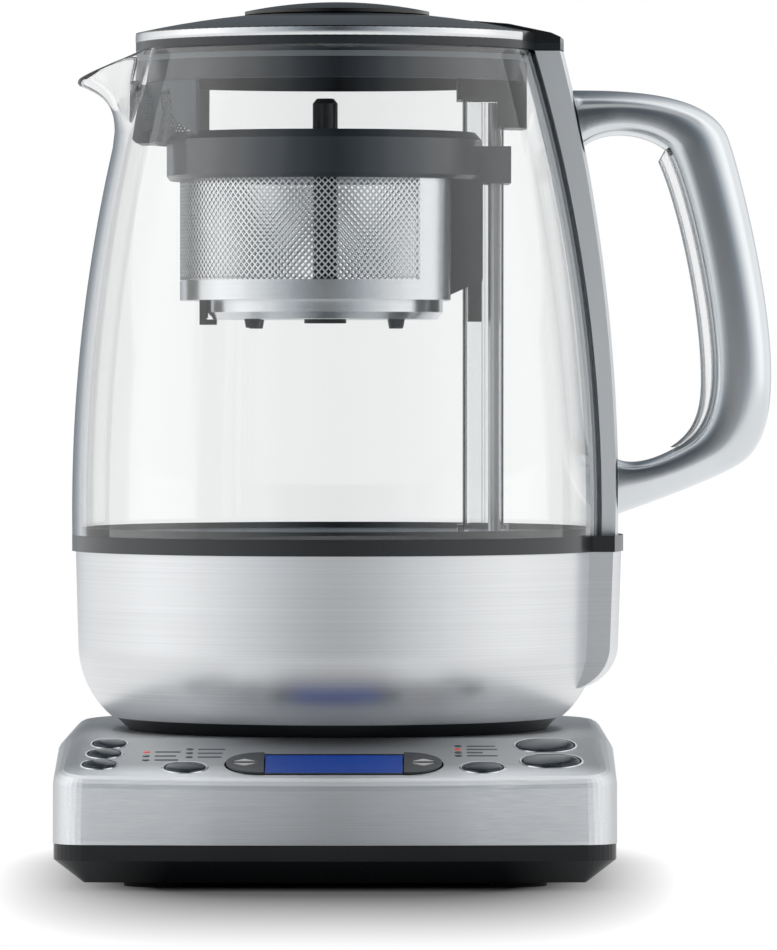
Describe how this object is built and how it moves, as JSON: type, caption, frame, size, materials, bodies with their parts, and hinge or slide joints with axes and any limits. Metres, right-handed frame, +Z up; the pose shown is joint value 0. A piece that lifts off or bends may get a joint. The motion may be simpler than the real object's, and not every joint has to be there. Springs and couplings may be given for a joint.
{
  "type": "automatic tea maker",
  "caption": "Glass jug kettle with a spout, steel foot, side handle and lift-out lid, holding a motor-lifted tea basket on a column, on a power base with sloping key panel and display.",
  "frame": {"origin": "on the table, under the middle of the whole object's box", "axes": "+Z up, -Y towards the user in front of the key panel, +X towards the jug's handle"},
  "size_m": [0.2072, 0.2, 0.2542],
  "materials": {
    "brushed_steel": "satin, brushed along the body",
    "polished_steel": "polished",
    "plate_steel": "satin",
    "satin_metal": "satin to polished",
    "zinc_steel": "zinc plated",
    "lid_metal": "dark grey, satin",
    "mesh_steel": "perforated sheet",
    "element_aluminium": "cast",
    "brass_contacts": "bare",
    "magnet_grey": "nickel plated",
    "black_plastic": "fine satin",
    "knob_black": "semi gloss",
    "dark_grey_plastic": "satin",
    "collar_grey": "satin",
    "filter_grey": "satin",
    "pale_plastic": "gloss",
    "clear_plastic": "clear plastic",
    "clear_glass": "clear",
    "display_blue": "lit blue display window",
    "light_red": "light pipe",
    "board_green": "circuit board",
    "black_rubber": "matt",
    "grey_rubber": "silicone"
  },
  "bodies": {
    "power_base": {"base_cover": "brushed_steel", "base_tray": "black_plastic", "base_feet": "black_rubber", "base_screws": "zinc_steel", "socket_ring": "black_plastic", "power_connector": "black_plastic", "connector_pins": "brass_contacts", "panel_carrier": "black_plastic", "control_board": "board_green", "key_switches": "black_plastic", "indicator_lights": "light_red", "display_window": "display_blue", "display_module": "dark_grey_plastic", "power_board": "board_green", "buzzer": "black_plastic", "cord_inlet": "black_rubber"},
    "small_button_1_body": {"small_button_1": "polished_steel"},
    "small_button_2_body": {"small_button_2": "polished_steel"},
    "small_button_3_body": {"small_button_3": "polished_steel"},
    "mid_button_1_body": {"mid_button_1": "polished_steel"},
    "mid_button_2_body": {"mid_button_2": "polished_steel"},
    "large_button_1_body": {"large_button_1": "polished_steel"},
    "large_button_2_body": {"large_button_2": "polished_steel"},
    "arrow_key_1_body": {"arrow_key_1": "dark_grey_plastic"},
    "arrow_key_2_body": {"arrow_key_2": "dark_grey_plastic"},
    "jug": {"jug_glass": "clear_glass", "jug_band": "black_plastic", "jug_shell": "brushed_steel", "jug_foot": "black_plastic", "heater_plate": "plate_steel", "heating_element": "element_aluminium", "jug_connector": "black_plastic", "temperature_sensor": "plate_steel", "lift_column": "clear_plastic", "screw_seal": "grey_rubber", "lift_motor": "zinc_steel", "handle_shell": "satin_metal", "handle_liner": "pale_plastic", "handle_spine": "satin_metal", "spine_gasket": "black_rubber", "handle_screws": "zinc_steel", "column_cap": "dark_grey_plastic"},
    "screw": {"drive_screw": "zinc_steel"},
    "lid": {"lid_cap": "lid_metal", "lid_knob": "knob_black", "lid_skirt": "dark_grey_plastic", "lid_seal": "grey_rubber", "filter_frame": "filter_grey", "filter_mesh": "mesh_steel"},
    "shuttle": {"magnet_shuttle": "black_plastic", "shuttle_magnets": "magnet_grey"},
    "basket": {"basket_collar": "collar_grey", "basket_wall": "mesh_steel", "basket_pan": "polished_steel", "basket_clips": "dark_grey_plastic", "basket_magnets": "magnet_grey"},
    "infuser_lid": {"basket_lid": "plate_steel", "basket_post": "knob_black"}
  },
  "joints": [
    {"name": "jug_lift_off", "type": "slide", "parent": "power_base", "child": "jug", "axis": [0, 0, 1], "range_m": [0, 0.06]},
    {"name": "lid_lift_off", "type": "slide", "parent": "jug", "child": "lid", "axis": [0, 0, 1], "range_m": [0, 0.045]},
    {"name": "shuttle_travel", "type": "slide", "parent": "jug", "child": "shuttle", "axis": [0, 0, 1], "range_m": [-0.05, 0]},
    {"name": "screw_turn", "type": "hinge", "parent": "jug", "child": "screw", "pos_m": [0.0215, 0.004, 0.1], "axis": [0, 0, 1], "range_deg": [-2250, 0]},
    {"name": "basket_unseat", "type": "slide", "parent": "shuttle", "child": "basket", "axis": [0, 0, 1], "range_m": [0, 0.004]},
    {"name": "infuser_lid_lift", "type": "slide", "parent": "basket", "child": "infuser_lid", "axis": [0, 0, 1], "range_m": [0, 0.015]},
    {"name": "small_button_1_press", "type": "slide", "parent": "power_base", "child": "small_button_1_body", "axis": [0, 0.2317, -0.9728], "range_m": [0, 0.001], "stiffness_N_per_m": 400, "springref_m": -0.0008},
    {"name": "small_button_2_press", "type": "slide", "parent": "power_base", "child": "small_button_2_body", "axis": [0, 0.2317, -0.9728], "range_m": [0, 0.001], "stiffness_N_per_m": 400, "springref_m": -0.0008},
    {"name": "small_button_3_press", "type": "slide", "parent": "power_base", "child": "small_button_3_body", "axis": [0, 0.2317, -0.9728], "range_m": [0, 0.001], "stiffness_N_per_m": 400, "springref_m": -0.0008},
    {"name": "mid_button_1_press", "type": "slide", "parent": "power_base", "child": "mid_button_1_body", "axis": [0, 0.2317, -0.9728], "range_m": [0, 0.001], "stiffness_N_per_m": 400, "springref_m": -0.0008},
    {"name": "mid_button_2_press", "type": "slide", "parent": "power_base", "child": "mid_button_2_body", "axis": [0, 0.2317, -0.9728], "range_m": [0, 0.001], "stiffness_N_per_m": 400, "springref_m": -0.0008},
    {"name": "large_button_1_press", "type": "slide", "parent": "power_base", "child": "large_button_1_body", "axis": [0, 0.2317, -0.9728], "range_m": [0, 0.001], "stiffness_N_per_m": 400, "springref_m": -0.0008},
    {"name": "large_button_2_press", "type": "slide", "parent": "power_base", "child": "large_button_2_body", "axis": [0, 0.2317, -0.9728], "range_m": [0, 0.001], "stiffness_N_per_m": 400, "springref_m": -0.0008},
    {"name": "arrow_key_1_rock", "type": "hinge", "parent": "power_base", "child": "arrow_key_1_body", "pos_m": [-0.04955, -0.08347, 0.03257], "axis": [1, 0, 0], "range_deg": [-3, 3], "stiffness_Nm_per_rad": 0.05},
    {"name": "arrow_key_2_rock", "type": "hinge", "parent": "power_base", "child": "arrow_key_2_body", "pos_m": [0.00095, -0.08347, 0.03257], "axis": [1, 0, 0], "range_deg": [-3, 3], "stiffness_Nm_per_rad": 0.05}
  ],
  "couplings": [
    {"joint": "screw_turn", "follows": "shuttle_travel", "rad_per_m": 785.4}
  ]
}
